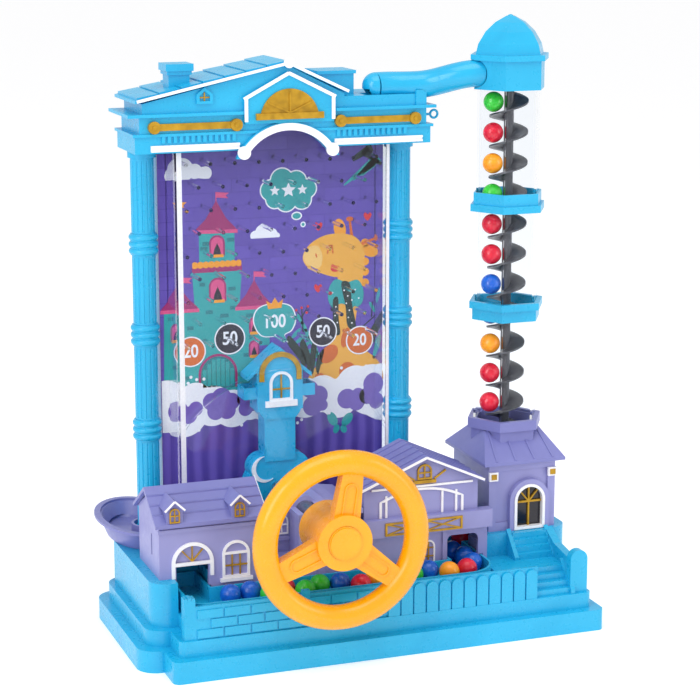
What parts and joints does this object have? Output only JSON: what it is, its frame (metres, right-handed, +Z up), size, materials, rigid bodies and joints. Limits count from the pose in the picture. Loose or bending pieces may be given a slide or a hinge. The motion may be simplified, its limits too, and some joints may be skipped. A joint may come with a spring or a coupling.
{
  "type": "pachinko machine",
  "caption": "Table-top castle ball game: a motor screw lifts coloured balls up a clear tower, and a steering wheel swings a catcher behind a peg board",
  "frame": {"origin": "middle of the plinth's front edge, at the level of the table", "axes": "+Z up, +Y from the player to the back of the toy, +X to the player's right; the wheel turns about Y, the lift screw about Z"},
  "size_m": [0.3118, 0.2139, 0.403],
  "materials": {
    "blue_shell": "gloss",
    "underside_blue": "satin",
    "zinc_screw": "satin",
    "cell_wrap": "satin",
    "contact_plate": "satin",
    "foot_rubber": "matte",
    "black_plastic": "satin",
    "screw_grey": "satin",
    "gear_white": "satin",
    "motor_can": "satin",
    "clear_plastic": "gloss",
    "clear_peg": "gloss",
    "lavender": "satin",
    "lavender_roof": "satin",
    "white_trim": "gloss",
    "gold_trim": "satin",
    "dark_pane": "gloss",
    "printed_panel": "gloss",
    "yellow_plastic": "gloss",
    "steel_rod": "satin",
    "ball_red": "gloss",
    "ball_blue": "gloss",
    "ball_green": "gloss",
    "ball_orange": "gloss"
  },
  "bodies": {
    "toy": {"base_shell": "blue_shell", "front_wall": "blue_shell", "ball_trough": "blue_shell", "tower_collars": "blue_shell", "tower_cap": "blue_shell", "tower_dome": "blue_shell", "chute_pipe": "blue_shell", "columns": "blue_shell", "pediment_body": "blue_shell", "pediment_roof": "blue_shell", "board_shell": "blue_shell", "bottom_plate": "underside_blue", "case_screws": "zinc_screw", "batteries": "cell_wrap", "battery_contacts": "contact_plate", "rubber_feet": "foot_rubber", "power_switch_body": "black_plastic", "motor": "motor_can", "tower_tubes": "clear_plastic", "clear_cover": "clear_plastic", "pegs": "clear_peg", "tower_house": "lavender", "left_house": "lavender", "middle_house": "lavender", "right_house": "lavender", "tower_roof": "lavender_roof", "left_roof": "lavender_roof", "right_roof": "lavender_roof", "bowl": "lavender_roof", "tower_window_frame": "white_trim", "left_white": "white_trim", "middle_white": "white_trim", "right_white": "white_trim", "pediment_white": "white_trim", "tower_window_gold": "gold_trim", "left_gold": "gold_trim", "right_gold": "gold_trim", "pediment_gold": "gold_trim", "tower_window_pane": "dark_pane", "art_panel": "printed_panel", "trough_balls_red": "ball_red", "trough_balls_blue": "ball_blue", "trough_balls_green": "ball_green", "trough_balls_orange": "ball_orange"},
    "steering": {"steering_wheel": "yellow_plastic", "hub_cap": "yellow_plastic", "steering_shaft": "steel_rod", "catcher": "blue_shell", "catcher_white": "white_trim", "catcher_gold": "gold_trim"},
    "lift_screw": {"auger": "screw_grey", "auger_gear": "gear_white", "lift_balls_red": "ball_red", "lift_balls_blue": "ball_blue", "lift_balls_green": "ball_green", "lift_balls_orange": "ball_orange"},
    "motor_rotor": {"motor_pinion": "gear_white"},
    "switch_knob": {"power_switch_slider": "black_plastic"},
    "battery_cover": {"battery_door": "underside_blue", "battery_door_screw": "zinc_screw"}
  },
  "joints": [
    {"name": "steering_turn", "type": "hinge", "parent": "toy", "child": "steering", "pos_m": [-0.0385, 0, 0.0865], "axis": [0, 1, 0], "range_deg": [-32, 32]},
    {"name": "screw_turn", "type": "hinge", "parent": "toy", "child": "lift_screw", "pos_m": [0.1175, 0.09, 0], "axis": [0, 0, 1], "continuous": true},
    {"name": "rotor_turn", "type": "hinge", "parent": "toy", "child": "motor_rotor", "pos_m": [0.09738, 0.09, 0], "axis": [0, 0, 1], "continuous": true},
    {"name": "switch_slide", "type": "slide", "parent": "toy", "child": "switch_knob", "axis": [1, 0, 0], "range_m": [0, 0.0035]},
    {"name": "battery_cover_lift", "type": "slide", "parent": "toy", "child": "battery_cover", "axis": [0, 0, -1], "range_m": [0, 0.03]}
  ],
  "couplings": [
    {"joint": "rotor_turn", "follows": "screw_turn", "ratio": -4}
  ]
}
